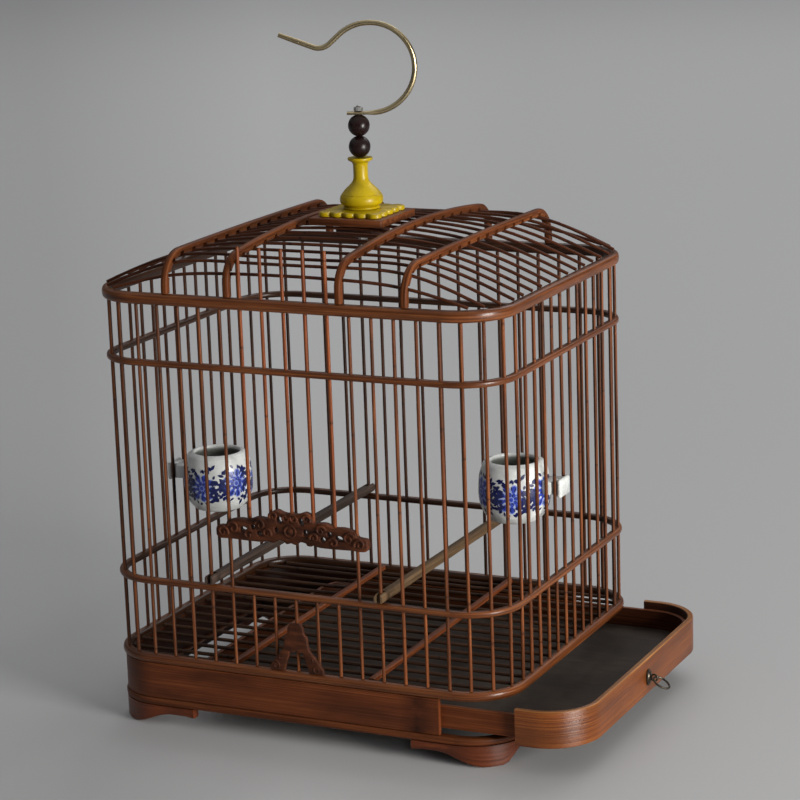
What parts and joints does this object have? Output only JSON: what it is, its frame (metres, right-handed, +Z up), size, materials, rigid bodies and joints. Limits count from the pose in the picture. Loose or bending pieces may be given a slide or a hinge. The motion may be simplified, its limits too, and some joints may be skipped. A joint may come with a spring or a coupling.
{
  "type": "bird_cage",
  "caption": "Rectangular stained bamboo bird cage with arched roof, sliding carved door, pull-out tray, two perches, two porcelain cups and a swivel hook",
  "frame": {"origin": "middle of the whole part's box at table level, with the tray drawn out as in the picture", "axes": "+Z up, -Y the front with the door, +X the side where the tray comes out"},
  "size_m": [0.3989, 0.271, 0.5098],
  "materials": {
    "stained_bamboo": "clear varnish over red-brown stain",
    "dark_bamboo": "dark stain",
    "carved_wood": "stained and carved",
    "perch_wood": "bare, worn",
    "tray_board": "dark matte board",
    "yellow_lacquer": "glossy yellow",
    "dark_bead": "polished dark wood",
    "brass_wire": "polished",
    "steel": "bright plated",
    "bronze": "aged dark",
    "porcelain": "glazed"
  },
  "bodies": {
    "cage": {"foot_front_left": "stained_bamboo", "foot_front_right": "stained_bamboo", "foot_back_left": "stained_bamboo", "foot_back_right": "stained_bamboo", "base_rail": "stained_bamboo", "base_band": "stained_bamboo", "top_ring": "stained_bamboo", "sill_ring": "stained_bamboo", "wall_front_left": "stained_bamboo", "wall_front_right": "stained_bamboo", "wall_front_low": "stained_bamboo", "wall_right": "stained_bamboo", "wall_back": "stained_bamboo", "wall_left": "stained_bamboo", "corner_front_left": "stained_bamboo", "corner_front_right": "stained_bamboo", "corner_back_left": "stained_bamboo", "corner_back_right": "stained_bamboo", "roof_rib_left_outer": "stained_bamboo", "roof_rib_left_inner": "stained_bamboo", "roof_rib_right_inner": "stained_bamboo", "roof_rib_right_outer": "stained_bamboo", "roof_block": "stained_bamboo", "roof_bar_01": "stained_bamboo", "roof_bar_02": "stained_bamboo", "roof_bar_03": "stained_bamboo", "roof_bar_04": "stained_bamboo", "roof_bar_05": "stained_bamboo", "roof_bar_06": "stained_bamboo", "roof_bar_07": "stained_bamboo", "roof_bar_08": "stained_bamboo", "roof_bar_09": "stained_bamboo", "roof_bar_10": "stained_bamboo", "roof_bar_11": "stained_bamboo", "roof_bar_12": "stained_bamboo", "roof_bar_13": "stained_bamboo", "roof_bar_14": "stained_bamboo", "roof_bar_15": "stained_bamboo", "roof_bar_16": "stained_bamboo", "roof_bar_17": "stained_bamboo", "roof_bar_18": "stained_bamboo", "floor_grate": "dark_bamboo", "door_foot_carving": "carved_wood", "petal_plate": "yellow_lacquer", "vase": "yellow_lacquer", "bead_lower": "dark_bead", "bead_upper": "dark_bead", "hook_nut": "steel", "hanger_bolt": "steel"},
    "door": {"door": "carved_wood"},
    "tray": {"tray_front": "stained_bamboo", "tray_wall": "stained_bamboo", "tray_floor": "tray_board", "pull_rosette": "bronze"},
    "pull_ring": {"pull_ring": "bronze"},
    "hook": {"hook": "brass_wire"},
    "perch_left": {"perch_left": "perch_wood"},
    "perch_right": {"perch_right": "perch_wood"},
    "cup_left": {"cup_left": "porcelain"},
    "cup_right": {"cup_right": "porcelain"}
  },
  "joints": [
    {"name": "door_slide", "type": "slide", "parent": "cage", "child": "door", "axis": [0, 0, 1], "range_m": [-0.036, 0.097]},
    {"name": "tray_slide", "type": "slide", "parent": "cage", "child": "tray", "axis": [1, 0, 0], "range_m": [-0.058, 0.13]},
    {"name": "pull_ring_pivot", "type": "hinge", "parent": "tray", "child": "pull_ring", "pos_m": [0.18763, 0, 0.03465], "axis": [0, 1, 0], "range_deg": [-110, 65]},
    {"name": "hook_swivel", "type": "hinge", "parent": "cage", "child": "hook", "pos_m": [-0.03597, 0, 0.44247], "axis": [0, 0, 1], "continuous": true},
    {"name": "perch_left_slide", "type": "slide", "parent": "cage", "child": "perch_left", "axis": [0, 0, 1], "range_m": [0, 0.15]},
    {"name": "perch_right_slide", "type": "slide", "parent": "cage", "child": "perch_right", "axis": [0, 0, 1], "range_m": [0, 0.15]},
    {"name": "cup_left_slide", "type": "slide", "parent": "cage", "child": "cup_left", "axis": [0, 0, 1], "range_m": [-0.043, 0.101]},
    {"name": "cup_right_slide", "type": "slide", "parent": "cage", "child": "cup_right", "axis": [0, 0, 1], "range_m": [-0.056, 0.088]}
  ]
}
